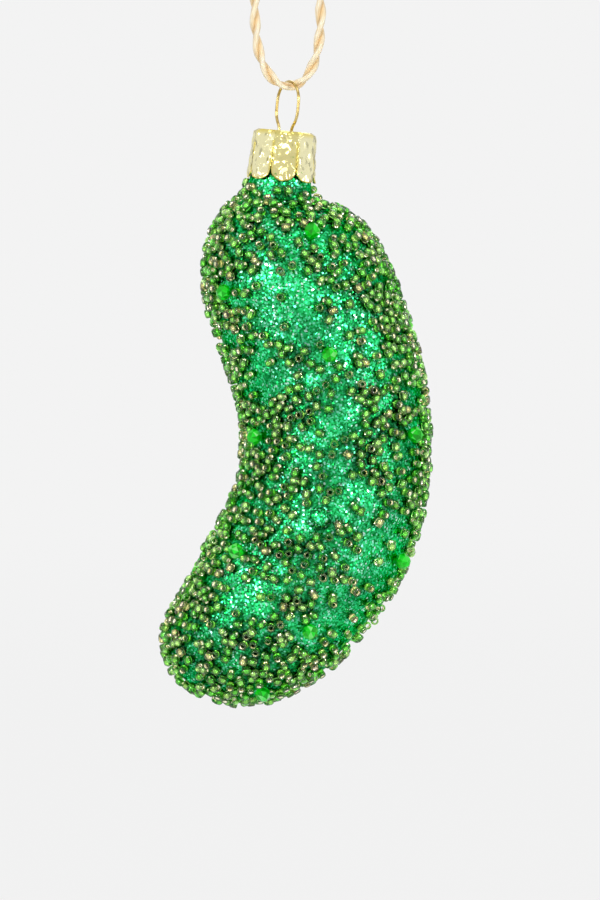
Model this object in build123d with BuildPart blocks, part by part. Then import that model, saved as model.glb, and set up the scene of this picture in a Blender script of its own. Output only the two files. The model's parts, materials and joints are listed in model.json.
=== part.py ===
from build123d import *

import bisect
import math
import os
import random

# Beaded glass pickle ornament, hanging from a loop of twine.
# Millimetres, +Z up, +X to the right and -Y to the front. The origin is the hang point:
# the inside top of the cord loop, where its two strands come together under the knot.

# Cord: a loop of twisted twine, closed by a knot above the hang point
cord_diameter = 2.2
cord_sides = 8
strand_gap = 0.3  # between the two strands under the knot
nip_diameter = 1.0  # the soft twine is squeezed to this where the wire ring hangs in it
nip_length = 2.6
nip_floor = 2.0  # length of the nip at its narrowest
knot_foot = 4.0  # height of the knot's foot above the hang point
knot_diameter = 6.6
knot_waist = 5.7
knot_height = 6.4
knot_slope = 1.1  # height of the slopes that round the knot off
knot_sides = 12
tail_length = 9.0
tail_spread = 2.2  # how far a tail leans outwards
bend_share = 0.45  # how much of a cord's run the bend at its end may take

# Hanger: one spring wire, a ring above the cap and two legs inside the neck
wire_diameter = 0.6
wire_sides = 6
wire_clearance = 0.1  # wire to cord and wire to the holes in the cap
ring_diameter = 8.2  # across the wire's middle line
ring_side = 1.6  # straight stretch between the ring's upper and lower curves
ring_flank = 40.0  # slope of the ring's lower sides, degrees from the neck axis
ring_bend = 2.0  # bend radius where the ring runs down into the legs
ring_turn = 59.0  # the ring's plane about the neck axis, degrees from the front
leg_spacing = 4.8
leg_straight = 10.0  # straight stretch of each leg under the cap's top
leg_clearance = 0.35  # between a leg's foot and the line of the neck's bore
splay_length = 12.0
splay_bend = 6.0

# Cap: thin pressed metal with petals
cap_diameter = 12.0
cap_sides = 24
cap_flare = 0.5  # how much wider in radius the petals' tips are
cap_height = 9.7
cap_sheet = 0.3
cap_edge = 0.8
cap_stem = 10.1  # from the top of the wire ring to the top of the cap
petal_count = 8
petal_turn = -86.0  # the front petal's middle, degrees round the neck axis from the right
petal_drop = 2.2  # how far the petals reach below the notches between them
petal_tip = 1.7  # width of a petal's straight lower edge
petal_slit = 0.35
petal_slit_top = 1.6  # plain rim left above the slits

# Glass: one blown shell with an open neck
neck_tilt = 5.5  # the neck leans to the right as the ornament hangs
neck_length = 13.8
neck_clearance = 0.15
neck_foot_flare = 0.9
neck_straight = 6.2
glass_wall = 1.0
glass_sides = 36
cavity_sides = 18
shoulder_radius = 17.8
belly_radius = 17.9
belly_at = 50.0  # along the spine, from the shoulder's top
shoulder_height = 23.0
shoulder_power = 2.3  # above 2 is squarer than an ellipse
tail_taper = 35.0  # length over which the body narrows to its tip
spine_points = [  # across and along the neck axis, from the loop's foot
    (0.2, -21.6),
    (2.1, -32.0),
    (11.1, -51.5),
    (16.1, -71.0),
    (13.4, -91.0),
    (1.9, -108.4),
    (-12.8, -117.0),
]
spine_end_angle = 59.0  # of the tip from straight down, to the left
shoulder_angles = [12, 25, 39, 54, 70]  # section places over the shoulder, degrees round its curve
tip_angles = [69, 56, 43, 31, 20, 10]
middle_sections = 8

# Beads, glued on the glass
bead_diameter = 1.9
bead_length = 1.5
bead_sides = 5
bead_glue = 0.06
bead_spacing_close = 4.2
bead_spacing_open = 6.4
bead_upright_share = 0.35
bead_tries = 6000
bead_edge_top = 2.5  # bare stretch of the spine at the neck
bead_edge_tip = 1.0
bands = {"shoulder": 0.24, "upper": 0.46, "lower": 0.7, "tip": 1.0}  # each one's end, as a share of the spine
crowded_tip = 0.9  # from here on the tip is crowded, as a share of the spine
accent_diameter = 3.4
accent_height = 2.8
accent_table = 1.9  # across the flat top
accent_girdle = 0.3  # height of the widest round
accent_sides = 8

# Where the accent beads stand: along the spine, and degrees round it with 0 at the back and 90 on the right
accent_front = [
    (9.0, 158),
    (15.3, 228),
    (33, 175),
    (48.5, 236),
    (49.5, 126),
    (81.5, 222.5),
    (85, 152),
    (96.5, 127),
    (68.5, 116),
]
accent_copies_back = 7  # how many of them the back repeats
accent_turn_back = 180.0
accent_step_back = 5.0
accent_beside = [(28, 302), (62, 58), (93, 298), (67, 312), (31, 62)]

os.makedirs("parts", exist_ok=True)

# Frames and sizes that several pieces share
cord_radius = cord_diameter / 2
wire_radius = wire_diameter / 2
strand_x = cord_radius + strand_gap / 2
cord_route = [
    (-strand_x, knot_foot),
    (-strand_x, 0.2),
    (-3.3, -7.0),
    (-5.3, -15.0),
    (-6.6, -23.5),
    (-6.95, -31.5),
    (-6.8, -38.5),
    (-5.7, -44.8),
    (-2.4, -49.4),
    (2.2, -49.4),
    (5.2, -44.8),
    (6.25, -38.5),
    (6.15, -31.5),
    (5.5, -23.5),
    (4.4, -15.0),
    (2.9, -7.0),
    (strand_x, 0.2),
    (strand_x, knot_foot),
]
loop_foot = min(z for x, z in cord_route)
ring_lift = nip_diameter / 2 + wire_clearance + wire_radius  # ring's top above the cord's middle line

tilt = math.radians(neck_tilt)
hung = Plane(
    origin=(0, 0, loop_foot),
    x_dir=(math.cos(tilt), 0, -math.sin(tilt)),
    z_dir=(math.sin(tilt), 0, math.cos(tilt)),
)
hung_front = Plane(origin=hung.origin, x_dir=hung.x_dir, z_dir=-hung.y_dir)
neck_axis = Axis(hung.origin, hung.z_dir)
cap_radius = cap_diameter / 2
cap_top = ring_lift - cap_stem
cap_bottom = cap_top - cap_height
neck_inset = cap_sheet + neck_clearance
neck_radius = cap_radius - neck_inset
neck_rim = cap_top - neck_inset
neck_foot = neck_rim - neck_length
neck_bore = neck_radius - glass_wall


def hung_point(across, up):
    """A point of the hung ornament, from its place across and along the neck axis."""
    return hung.from_local_coords((across, 0, up))


def inner_chamfer(inset):
    """The chamfer that follows the cap's edge on a wall set in from the cap's outside."""
    return cap_edge - (2 - math.sqrt(2)) * inset


def corner_radii(points):
    """For each inner point of a route, the largest arc that its two runs allow."""
    radii = []
    for before, here, after in zip(points, points[1:], points[2:]):
        run_in = Vector(here) - Vector(before)
        run_out = Vector(after) - Vector(here)
        half_turn = math.radians(run_in.get_angle(run_out)) / 2
        radii.append(bend_share * min(run_in.length, run_out.length) / math.tan(half_turn))
    return radii


def tube(line, across, radius, sides):
    """A bar of even section along a flat line of straight runs and arcs."""
    with BuildPart() as bar:
        for edge in line.edges():
            with BuildSketch(Plane(origin=edge @ 0, x_dir=across, z_dir=edge % 0)):
                RegularPolygon(radius, sides)
            if edge.geom_type == GeomType.LINE:
                extrude(amount=edge.length)
            else:
                pivot = Axis(edge.arc_center, (edge @ 0 - edge.arc_center).cross(edge % 0))
                revolve(axis=pivot, revolution_arc=math.degrees(edge.length / edge.radius))
    return bar.part


def ring(plane, radius, sides):
    """Corners of a regular polygon on a plane."""
    turns = [2 * math.pi * corner / sides for corner in range(sides)]
    return [plane.from_local_coords((radius * math.cos(turn), radius * math.sin(turn), 0)) for turn in turns]


def skin(rings):
    """A solid through a row of polygons with equal corner counts, faced with flat triangles."""
    faces = [Face(Wire.make_polygon(end)) for end in (rings[0], rings[-1])]
    for upper, lower in zip(rings, rings[1:]):
        for corner in range(len(upper)):
            faces.append(Face(Wire.make_polygon((upper[corner - 1], upper[corner], lower[corner - 1]))))
            faces.append(Face(Wire.make_polygon((upper[corner], lower[corner], lower[corner - 1]))))
    return Solid(Shell(faces))


def write(part, name):
    part.label = name
    export_step(part, f"parts/{name}.step")


# Cord loop: down the left strand, round under the ring and up the right strand
loop_points = [(x, 0, z) for x, z in cord_route]
loop_radii = corner_radii(loop_points)
loop_line = FilletPolyline(*loop_points, radius=loop_radii)
loop_tube = tube(loop_line, (0, 1, 0), cord_radius, cord_sides)
cord_section = cord_sides / 2 * cord_radius**2 * math.sin(2 * math.pi / cord_sides)
print("cord radii", [round(radius, 1) for radius in loop_radii])
print("cord length", round(loop_line.length, 1))
print("cord volume share", round(loop_tube.volume / (cord_section * loop_line.length), 4))
with BuildPart() as cord_loop:
    add(loop_tube)
    with BuildSketch(Plane.XZ):
        with BuildLine():
            nip_rim = loop_foot + cord_radius + wire_clearance / 2
            nip_waist = loop_foot + nip_diameter / 2
            Polyline(
                (-nip_length / 2, nip_rim),
                (-nip_floor / 2, nip_waist),
                (nip_floor / 2, nip_waist),
                (nip_length / 2, nip_rim),
                close=True,
            )
        make_face()
    revolve(axis=Axis((0, 0, loop_foot), (1, 0, 0)), mode=Mode.SUBTRACT)
write(cord_loop.part, "cord_loop")

# Knot: a drawn-tight round lump with a waist where the twine crosses itself
knot_top = knot_foot + knot_height
knot_middle = knot_foot + knot_height / 2
knot_end = cord_diameter + strand_gap
with BuildPart() as cord_knot:
    with BuildSketch(Plane.XY.offset(knot_foot)):
        RegularPolygon(knot_diameter / 2, knot_sides)
    extrude(amount=knot_height / 2)
    end_face = cord_knot.faces().sort_by(Axis.Z)[0]
    chamfer(end_face.edges(), knot_diameter / 2 - knot_end, knot_slope, reference=end_face)
    waist_face = cord_knot.faces().sort_by(Axis.Z)[-1]
    chamfer(waist_face.edges(), (knot_diameter - knot_waist) / 2, knot_slope, reference=waist_face)
    mirror(about=Plane.XY.offset(knot_middle))
write(cord_knot.part, "cord_knot")

# Tails: the two cut ends of the twine, leaning apart above the knot
for side, name in ((-1, "cord_tail_left"), (1, "cord_tail_right")):
    with BuildPart() as cord_tail:
        with BuildSketch(Plane.XY.offset(knot_top)):
            with Locations((side * strand_x, 0)):
                RegularPolygon(cord_radius, cord_sides)
        extrude(amount=tail_length, dir=(side * tail_spread, 0, tail_length))
    write(cord_tail.part, name)

# Hanger wire: foot, leg, ring, leg, foot, in one plane through the neck axis
ring_radius = ring_diameter / 2
flank = math.radians(ring_flank)
leg_x = leg_spacing / 2
foot_x = neck_bore - leg_clearance - wire_radius
bend_width = ring_bend * (1 - math.cos(flank))
flank_run = (ring_radius * math.cos(flank) - leg_x - bend_width) / math.sin(flank)
ring_middle = ring_lift - ring_radius
ring_low = ring_middle - ring_side
leg_top = ring_low - (ring_radius + ring_bend) * math.sin(flank) - flank_run * math.cos(flank)
leg_bottom = cap_top - leg_straight
bend_end = (leg_x + bend_width, leg_top + ring_bend * math.sin(flank))
ring_end = (bend_end[0] + flank_run * math.sin(flank), bend_end[1] + flank_run * math.cos(flank))
turn = math.radians(ring_turn)
ring_plane = Plane(
    origin=hung.origin,
    x_dir=hung.x_dir * math.cos(turn) - hung.y_dir * math.sin(turn),
    z_dir=-hung.x_dir * math.sin(turn) - hung.y_dir * math.cos(turn),
)
with BuildLine(ring_plane) as wire_line:
    foot = (foot_x, leg_bottom - splay_length)
    FilletPolyline(foot, (leg_x, leg_bottom), (leg_x, leg_top), radius=splay_bend)
    JernArc((leg_x, leg_top), (0, 1), ring_bend, -ring_flank)
    Line(bend_end, ring_end)
    JernArc(ring_end, (math.sin(flank), math.cos(flank)), ring_radius, ring_flank)
    Line((ring_radius, ring_low), (ring_radius, ring_middle))
    mirror(about=Plane(origin=ring_plane.origin, z_dir=ring_plane.x_dir))
    ThreePointArc((ring_radius, ring_middle), (0, ring_lift), (-ring_radius, ring_middle))
wire_tube = tube(wire_line, ring_plane.z_dir, wire_radius, wire_sides)
with BuildPart() as hanger_wire:
    add(wire_tube)
write(hanger_wire.part, "hanger_wire")

# Crown cap: a flaring cup of thin sheet, slit into petals, with two holes for the wire
notch_turn = petal_turn + 180 / petal_count


def cup(inset):
    """The cap's solid form, drawn in by an inset from the cap's outside."""
    with BuildPart() as form:
        with BuildSketch(Plane(origin=hung_point(0, cap_bottom), x_dir=hung.x_dir, z_dir=hung.z_dir)):
            RegularPolygon(cap_radius + cap_flare - inset, cap_sides, rotation=notch_turn)
        extrude(amount=cap_height - inset)
        flare_face = form.faces().sort_by(neck_axis)[-1]
        chamfer(flare_face.edges(), cap_flare, cap_height - petal_drop - inset, reference=flare_face)
        chamfer(form.faces().sort_by(neck_axis)[-1].edges(), inner_chamfer(inset))
    return form.part


cap_outside = cup(0)
cap_inside = cup(cap_sheet)
petal_pitch = 2 * math.pi * (cap_radius + cap_flare) / petal_count
with BuildPart() as crown_cap:
    add(cap_outside)
    add(cap_inside, mode=Mode.SUBTRACT)
    for petal in range(petal_count):
        angle = math.radians(notch_turn + petal * 360 / petal_count)
        outward = hung.x_dir * math.cos(angle) + hung.y_dir * math.sin(angle)
        with BuildSketch(Plane(origin=hung.origin, x_dir=hung.z_dir.cross(outward), z_dir=outward)):
            with BuildLine():
                notch_half = (petal_pitch - petal_tip) / 2
                Polyline(
                    (-notch_half, cap_bottom),
                    (-notch_half / 2, cap_bottom + petal_drop / 4),
                    (-petal_slit / 2, cap_bottom + petal_drop),
                    (-petal_slit / 2, cap_top - petal_slit_top),
                    (petal_slit / 2, cap_top - petal_slit_top),
                    (petal_slit / 2, cap_bottom + petal_drop),
                    (notch_half / 2, cap_bottom + petal_drop / 4),
                    (notch_half, cap_bottom),
                    close=True,
                )
            make_face()
        extrude(amount=cap_diameter, mode=Mode.SUBTRACT)
    with BuildSketch(Plane(origin=hung_point(0, cap_top), x_dir=ring_plane.x_dir, z_dir=hung.z_dir)):
        with Locations((-leg_x, 0), (leg_x, 0)):
            Circle(wire_radius + wire_clearance)
    extrude(amount=-2 * cap_sheet, mode=Mode.SUBTRACT)
write(crown_cap.part, "crown_cap")

# Glass body: sections square to a curved spine, from the shoulder to the tip
end_angle = math.radians(spine_end_angle)
spine = Spline(
    *[hung_point(across, up) for across, up in spine_points],
    tangents=[-hung.z_dir, hung_point(-math.sin(end_angle), -math.cos(end_angle)) - hung.origin],
)
spine_length = spine.length


def body_radius(along):
    """Half width of the body at a distance along its spine."""
    swell = math.sin(math.pi / 2 * min(along / belly_at, 1))
    middle = shoulder_radius + (belly_radius - shoulder_radius) * swell
    from_top = 1 - min(along / shoulder_height, 1)
    from_tip = 1 - min((spine_length - along) / tail_taper, 1)
    return middle * (1 - from_top**shoulder_power) ** (1 / shoulder_power) * math.sqrt(1 - from_tip**2)


def cross_plane(along):
    """The plane square to the spine, with its X to the back and its Y to the right."""
    origin = spine.position_at(along, position_mode=PositionMode.LENGTH)
    down = spine.tangent_at(along, position_mode=PositionMode.LENGTH)
    return Plane(origin=origin, x_dir=(0, 1, 0), z_dir=down)


middle_run = spine_length - tail_taper - shoulder_height
stations = [shoulder_height * (1 - math.cos(math.radians(angle))) for angle in shoulder_angles]
stations += [shoulder_height + middle_run * step / middle_sections for step in range(middle_sections + 1)]
stations += [spine_length - tail_taper * (1 - math.cos(math.radians(angle))) for angle in tip_angles]
sections = [cross_plane(along) for along in stations]
radii = [body_radius(along) for along in stations]
end_insets = [glass_wall] * len(shoulder_angles)
end_insets += [0] * (middle_sections + 1)
end_insets += [-glass_wall] * len(tip_angles)
neck_edge = inner_chamfer(neck_inset)
cavity_turn = 2 * math.pi / cavity_sides
cavity_spread = math.sqrt(cavity_turn / math.sin(cavity_turn))  # gives the cavity's polygon its circle's area
outside = skin([ring(plane, radius, glass_sides) for plane, radius in zip(sections, radii)])
cavity = skin(
    [
        ring(plane.offset(inset), (radius - glass_wall) * cavity_spread, cavity_sides)
        for plane, radius, inset in zip(sections, radii, end_insets)
    ]
)
with BuildPart() as glass_body:
    add(outside)
    with BuildSketch(hung_front):
        with BuildLine():
            Polyline(
                (0, neck_rim),
                (neck_radius - neck_edge, neck_rim),
                (neck_radius, neck_rim - neck_edge),
                (neck_radius, neck_rim - neck_straight),
                (neck_radius + neck_foot_flare, neck_foot),
                (neck_radius + neck_foot_flare, neck_foot - 2 * glass_wall),
                (0, neck_foot - 2 * glass_wall),
                close=True,
            )
        make_face()
    revolve(axis=neck_axis)
    add(cavity, mode=Mode.SUBTRACT)
    with BuildSketch(Plane(origin=hung_point(0, neck_rim), x_dir=hung.x_dir, z_dir=hung.z_dir)):
        Circle(neck_bore)
    extrude(amount=-neck_length - 4 * glass_wall, mode=Mode.SUBTRACT)
write(glass_body.part, "glass_body")


def on_body(along, around):
    """The point on the glass at a place along the spine and an angle round it, and the way out from there."""
    band = min(max(bisect.bisect(stations, along) - 1, 0), len(stations) - 2)
    share = (along - stations[band]) / (stations[band + 1] - stations[band])
    angle = math.radians(around)
    edges = []
    slopes = []
    for plane, radius in zip(sections[band : band + 2], radii[band : band + 2]):
        across = plane.x_dir * math.cos(angle) + plane.y_dir * math.sin(angle)
        edges.append(plane.origin + across * radius)
        slopes.append(plane.z_dir.cross(across) * radius)
    point = edges[0] + (edges[1] - edges[0]) * share
    slope = slopes[0] + (slopes[1] - slopes[0]) * share
    outward = slope.cross(edges[1] - edges[0]).normalized()
    return point, outward


# Accent beads: faceted glass, a flat table and a sloping crown on each side of the widest round
accent_slope = math.cos(math.pi / accent_sides) * (accent_diameter - accent_table) / 2
accent_crown = (accent_height - accent_girdle) / 2
with BuildPart() as accent_bead:
    with BuildSketch():
        RegularPolygon(accent_diameter / 2, accent_sides)
    extrude(amount=accent_height)
    for table in (accent_bead.faces().sort_by(Axis.Z)[0], accent_bead.faces().sort_by(Axis.Z)[-1]):
        chamfer(table.edges(), accent_slope, accent_crown, reference=table)
accent_places = accent_front + accent_beside
for along, around in accent_front[:accent_copies_back]:
    accent_places.append((along + accent_step_back, around + accent_turn_back))
taken = []
for number, (along, around) in enumerate(accent_places, start=1):
    point, outward = on_body(along, around)
    with BuildPart() as accent:
        with Locations(Plane(origin=point + outward * bead_glue, z_dir=outward)):
            add(accent_bead.part)
    taken.append((point, accent_diameter / 2 + bead_length))
    write(accent.part, f"accent_bead_{number:02d}")

# Seed beads: short glass tubes strewn over the body, closest on the right side, the shoulder and the tip
with BuildPart() as seed_bead:
    with BuildSketch():
        RegularPolygon(bead_diameter / 2, bead_sides)
    extrude(amount=bead_length / 2, both=True)
strewing = random.Random(11)
quarters = ("back", "right", "front", "left")
places = {(band, quarter): [] for band in bands for quarter in quarters}
for attempt in range(bead_tries):
    along = strewing.uniform(bead_edge_top, spine_length - bead_edge_tip)
    around = strewing.uniform(0, 360)
    lying_angle = strewing.uniform(0, 360)
    upright = strewing.random() < bead_upright_share
    if strewing.random() > body_radius(along) / belly_radius:
        continue
    point, outward = on_body(along, around)
    share = along / spine_length
    near_top = 1 - share / bands["shoulder"]
    near_tip = (share - bands["lower"]) / (crowded_tip - bands["lower"])
    crowd = min(max(math.sin(math.radians(around)), near_top, near_tip, 0), 1)
    reach = (bead_spacing_open + (bead_spacing_close - bead_spacing_open) * crowd) / 2
    apart = [max(reach, other_reach) + reach - bead_diameter / 2 for other, other_reach in taken]
    if any((point - other).length < least for (other, other_reach), least in zip(taken, apart)):
        continue
    taken.append((point, reach))
    if upright:
        seat = Plane(origin=point + outward * (bead_glue + bead_length / 2), z_dir=outward)
    else:
        lying = Plane(origin=point, z_dir=outward).x_dir.rotate(Axis((0, 0, 0), outward), lying_angle)
        seat = Plane(origin=point + outward * (bead_glue + bead_diameter / 2), x_dir=outward, z_dir=lying)
    band = next(name for name, end in bands.items() if share <= end)
    quarter = quarters[int(((around + 45) % 360) // 90)]
    places[band, quarter].append(seat)
print("seed beads", sum(len(seats) for seats in places.values()))
for (band, quarter), seats in places.items():
    with BuildPart() as seed_group:
        with Locations(*seats):
            add(seed_bead.part)
    write(seed_group.part, f"seed_beads_{band}_{quarter}")
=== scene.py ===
import json
import math
import random
from itertools import product

import bmesh
import bpy
import numpy as np
from mathutils import Matrix, Vector, noise
from mathutils.bvhtree import BVHTree
from mathutils.kdtree import KDTree


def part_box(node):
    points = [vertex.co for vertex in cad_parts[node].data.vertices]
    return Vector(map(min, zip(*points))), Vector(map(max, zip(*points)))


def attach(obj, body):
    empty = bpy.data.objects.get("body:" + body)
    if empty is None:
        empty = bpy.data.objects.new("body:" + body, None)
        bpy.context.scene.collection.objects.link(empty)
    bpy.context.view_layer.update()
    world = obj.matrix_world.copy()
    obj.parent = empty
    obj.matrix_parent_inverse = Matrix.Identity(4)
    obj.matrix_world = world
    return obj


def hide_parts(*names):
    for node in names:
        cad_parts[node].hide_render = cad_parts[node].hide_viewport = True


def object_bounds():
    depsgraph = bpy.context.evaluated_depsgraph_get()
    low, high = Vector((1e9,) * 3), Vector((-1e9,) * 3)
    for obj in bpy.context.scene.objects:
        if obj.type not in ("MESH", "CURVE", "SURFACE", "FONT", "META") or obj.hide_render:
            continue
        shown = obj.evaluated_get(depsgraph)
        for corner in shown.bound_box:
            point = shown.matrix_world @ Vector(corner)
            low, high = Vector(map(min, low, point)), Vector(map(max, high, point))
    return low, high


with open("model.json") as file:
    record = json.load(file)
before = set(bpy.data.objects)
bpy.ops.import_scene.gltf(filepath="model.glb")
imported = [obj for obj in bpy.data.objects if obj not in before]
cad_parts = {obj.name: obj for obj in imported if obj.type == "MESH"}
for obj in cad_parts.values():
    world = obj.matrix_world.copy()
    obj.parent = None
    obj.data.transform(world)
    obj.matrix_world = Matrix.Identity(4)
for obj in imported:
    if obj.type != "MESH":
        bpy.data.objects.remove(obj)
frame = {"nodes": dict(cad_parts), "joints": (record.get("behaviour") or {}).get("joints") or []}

# Beaded glass pickle ornament on a twine loop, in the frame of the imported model.
# Sizes are in millimetres. A size times MM is in metres, as are points, the camera and the studio.
MM = 0.001
weld = 0.001 * MM
cad_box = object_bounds()
scene = bpy.context.scene
scene.view_settings.view_transform = "Standard"
joints = {joint["name"]: joint for joint in frame["joints"]}

# The hung frame: from the foot of the loop, along the neck and across it
loop_foot = Vector(joints["ring_swing"]["pos_m"])
neck_up = -Vector(joints["cap_pull"]["axis"])
neck_back = Vector((0, 1, 0))
neck_right = neck_back.cross(neck_up)


def hung(right, back, up):
    """A point from millimetres to the right, to the back and up the neck, counted from the loop's foot."""
    return loop_foot + (neck_right * right + neck_back * back + neck_up * up) * MM


def along_neck(point):
    """How many millimetres up the neck a point is from the loop's foot."""
    return (point - loop_foot).dot(neck_up) / MM


def clamp(value, low=0, high=1):
    """A value kept between two ends."""
    return min(max(value, low), high)


def unevenness(point, per_mm, height, shift=Vector()):
    """Millimetres up or down at a point of a smooth random relief."""
    return noise.noise(point / MM * per_mm + shift) * height


# Camera: the photograph's view, from the front and a little above
picture_height = 0.180
picture_middle = Vector((0.0021, 0, -0.1220))
camera_lens = 200
camera_rise = math.radians(3.5)
camera_data = bpy.data.cameras.new("camera")
camera_data.lens = camera_lens
camera_distance = picture_height / camera_data.sensor_width * camera_lens
camera = bpy.data.objects.new("camera", camera_data)
camera_way = Vector((0, -math.cos(camera_rise), math.sin(camera_rise)))
camera.location = picture_middle + camera_way * camera_distance
camera.rotation_euler = (-camera_way).to_track_quat("-Z", "Y").to_euler()
scene.collection.objects.link(camera)
scene.camera = camera


# Meshes


def build(name, corners, faces, body, materials, smooth=True):
    """A mesh piece in the row frame that rides on a body."""
    mesh = bpy.data.meshes.new(name)
    mesh.from_pydata(corners, [], faces)
    mesh.polygons.foreach_set("use_smooth", [smooth] * len(mesh.polygons))
    mesh.update()
    piece = bpy.data.objects.new(name, mesh)
    scene.collection.objects.link(piece)
    for material in materials:
        mesh.materials.append(material)
    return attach(piece, body)


def paint(mesh, name, values, domain="POINT"):
    """A number on each point or face of a mesh, for its material to read."""
    mark = mesh.attributes.new(name, "FLOAT", domain)
    mark.data.foreach_set("value", values)


def heading(line, step):
    """The direction of a line of points at one of them."""
    return (line[min(step + 1, len(line) - 1)] - line[max(step - 1, 0)]).normalized()


def tube_faces(first, rings, sides):
    """The sides and both ends of a tube whose rings of corners follow each other."""
    faces = []
    for ring in range(rings - 1):
        low = first + ring * sides
        for corner in range(sides):
            beside = (corner + 1) % sides
            faces.append((low + corner, low + beside, low + sides + beside, low + sides + corner))
    last = first + (rings - 1) * sides
    faces.append(tuple(reversed(range(first, first + sides))))
    faces.append(tuple(range(last, last + sides)))
    return faces


# Nodes


def new_material(name, finish):
    """A material's node tree and its Principled shader, with the plain values of its finish."""
    material = bpy.data.materials.new(name)
    material.use_nodes = True
    tree = material.node_tree
    shader = tree.nodes["Principled BSDF"]
    for key, value in finish.items():
        shader.inputs[key].default_value = value
    return material, tree, shader


def put(tree, kind, inputs=None, **settings):
    """A node with its settings and input values; an input given as a socket is linked."""
    node = tree.nodes.new(kind)
    for key, value in settings.items():
        setattr(node, key, value)
    for key, value in (inputs or {}).items():
        if isinstance(value, bpy.types.NodeSocket):
            tree.links.new(value, node.inputs[key])
        else:
            node.inputs[key].default_value = value
    return node


def maths(tree, operation, *values):
    """The result of a sum on sockets and numbers."""
    return put(tree, "ShaderNodeMath", dict(enumerate(values)), operation=operation).outputs[0]


def vector_maths(tree, operation, *values):
    """The result of a sum on vectors."""
    return put(tree, "ShaderNodeVectorMath", dict(enumerate(values)), operation=operation).outputs[0]


def scaled(tree, vector, share):
    """A vector or a colour times a number."""
    return put(tree, "ShaderNodeVectorMath", {0: vector, "Scale": share}, operation="SCALE").outputs[0]


def remap(tree, value, start, end, low, high, way="LINEAR"):
    """A value between low and high, as another one goes from start to end."""
    inputs = {"Value": value, "From Min": start, "From Max": end, "To Min": low, "To Max": high}
    return put(tree, "ShaderNodeMapRange", inputs, interpolation_type=way).outputs[0]


def mix(tree, share, first, second):
    """A colour between two, each a socket or a plain colour."""
    ends = [end if isinstance(end, bpy.types.NodeSocket) else (*end, 1) for end in (first, second)]
    inputs = {"Factor": share, "A": ends[0], "B": ends[1]}
    return put(tree, "ShaderNodeMix", inputs, data_type="RGBA").outputs["Result"]


def ramp(tree, factor, stops):
    """A colour ramp fed by a socket."""
    node = put(tree, "ShaderNodeValToRGB", {"Fac": factor})
    while len(node.color_ramp.elements) < len(stops):
        node.color_ramp.elements.new(0.5)
    for element, (place, colour) in zip(node.color_ramp.elements, stops):
        element.position = place
        element.color = (*colour, 1)
    return node.outputs["Color"]


def painted(tree, name, output="Fac"):
    """What is painted on the mesh under a name."""
    return put(tree, "ShaderNodeAttribute", attribute_name=name).outputs[output]


def cloud(tree, per_metre, detail):
    """Soft noise over a piece."""
    place = put(tree, "ShaderNodeTexCoord").outputs["Object"]
    inputs = {"Vector": place, "Scale": per_metre, "Detail": detail}
    return put(tree, "ShaderNodeTexNoise", inputs).outputs["Fac"]


def bump(tree, height, strength, distance):
    """A normal tilted by a height."""
    inputs = {"Height": height, "Strength": strength, "Distance": distance}
    return put(tree, "ShaderNodeBump", inputs).outputs[0]


def srgb(red, green, blue):
    """Linear colour from screen values of 0 to 255."""
    shares = [level / 255 for level in (red, green, blue)]
    return tuple(share / 12.92 if share <= 0.04 else ((share + 0.055) / 1.055) ** 2.4 for share in shares)


def new_group(name, takes, gives):
    """A shader node group that takes numbers and gives outputs of the kinds named."""
    group = bpy.data.node_groups.new(name, "ShaderNodeTree")
    for socket in takes:
        group.interface.new_socket(socket, in_out="INPUT", socket_type="NodeSocketFloat")
    for socket, kind in gives.items():
        group.interface.new_socket(socket, in_out="OUTPUT", socket_type=kind)
    return group, group.nodes.new("NodeGroupInput"), group.nodes.new("NodeGroupOutput")


def flake_group():
    """Loose flakes: each cell has its own tilt and shade."""
    shade_spread = 7.31  # makes a cell's shade independent of its tilt
    group, entry, leave = new_group(
        "loose_flakes",
        ["Flakes per metre", "Tilt"],
        {"Shade": "NodeSocketFloat", "Normal": "NodeSocketVector"},
    )
    place = put(group, "ShaderNodeTexCoord").outputs["Object"]
    spacing = {"Vector": place, "Scale": entry.outputs["Flakes per metre"]}
    cell = put(group, "ShaderNodeTexVoronoi", spacing).outputs["Color"]
    centred = vector_maths(group, "SUBTRACT", cell, (0.5, 0.5, 0.5))
    tilted = scaled(group, centred, entry.outputs["Tilt"])
    face = put(group, "ShaderNodeNewGeometry").outputs["Normal"]
    flake = vector_maths(group, "NORMALIZE", vector_maths(group, "ADD", face, tilted))
    red = put(group, "ShaderNodeSeparateColor", {"Color": cell}).outputs["Red"]
    shade = maths(group, "FRACT", maths(group, "MULTIPLY", red, shade_spread))
    group.links.new(shade, leave.inputs["Shade"])
    group.links.new(flake, leave.inputs["Normal"])
    return group


def crumple_group():
    """Creased sheet: sharp ridges over soft dents, as a height."""
    group, entry, leave = new_group("crumpled_sheet", ["Creases per metre"], {"Height": "NodeSocketFloat"})
    place = put(group, "ShaderNodeTexCoord").outputs["Object"]
    spacing = {"Vector": place, "Scale": entry.outputs["Creases per metre"]}
    ridges = put(group, "ShaderNodeTexVoronoi", spacing).outputs["Distance"]
    dents = put(group, "ShaderNodeTexNoise", {**spacing, "Detail": 1}).outputs["Fac"]
    group.links.new(maths(group, "ADD", ridges, dents), leave.inputs["Height"])
    return group


def group_node(tree, group, inputs):
    """A node group placed in a material with its own values."""
    node = tree.nodes.new("ShaderNodeGroup")
    node.node_tree = group
    for key, value in inputs.items():
        node.inputs[key].default_value = value
    return node


loose_flakes = flake_group()
crumpled_sheet = crumple_group()


# Materials


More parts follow.
